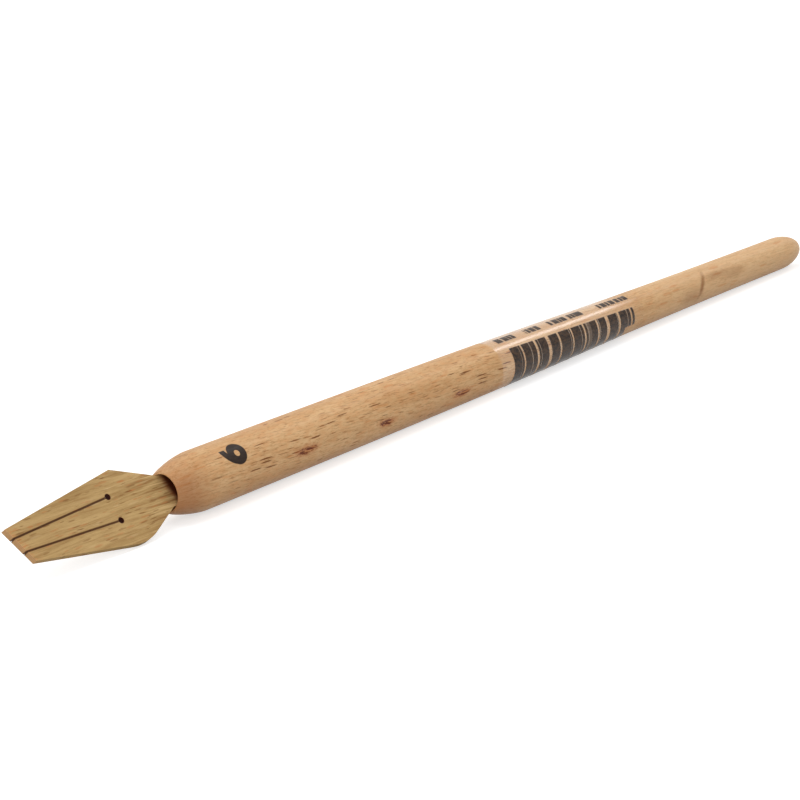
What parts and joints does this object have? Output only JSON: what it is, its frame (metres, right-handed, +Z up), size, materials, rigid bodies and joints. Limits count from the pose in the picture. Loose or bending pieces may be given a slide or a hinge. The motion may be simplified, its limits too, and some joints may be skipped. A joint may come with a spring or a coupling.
{
  "type": "calligraphy pen",
  "caption": "Wooden lettering pen: a turned, tapering handle with a flat slit nib of thin wood, cut to an oblique writing edge and glued into the bored nose.",
  "frame": {"origin": "on the table under the middle of the pen's bounding box, as the pen lies on its handle and on the near shoulder of its nib", "axes": "+X runs from the writing edge along the pen to the butt, +Z is up from the table, and -Y is the side that the nib's upper face is tipped towards"},
  "size_m": [0.1924, 0.009, 0.01],
  "materials": {
    "beech": "satin",
    "nib_wood": "matte",
    "glue": "gloss",
    "clear_film": "gloss"
  },
  "bodies": {
    "root": {"handle": "beech", "nib": "nib_wood", "tang_glue": "glue", "label_film": "clear_film"}
  },
  "joints": []
}
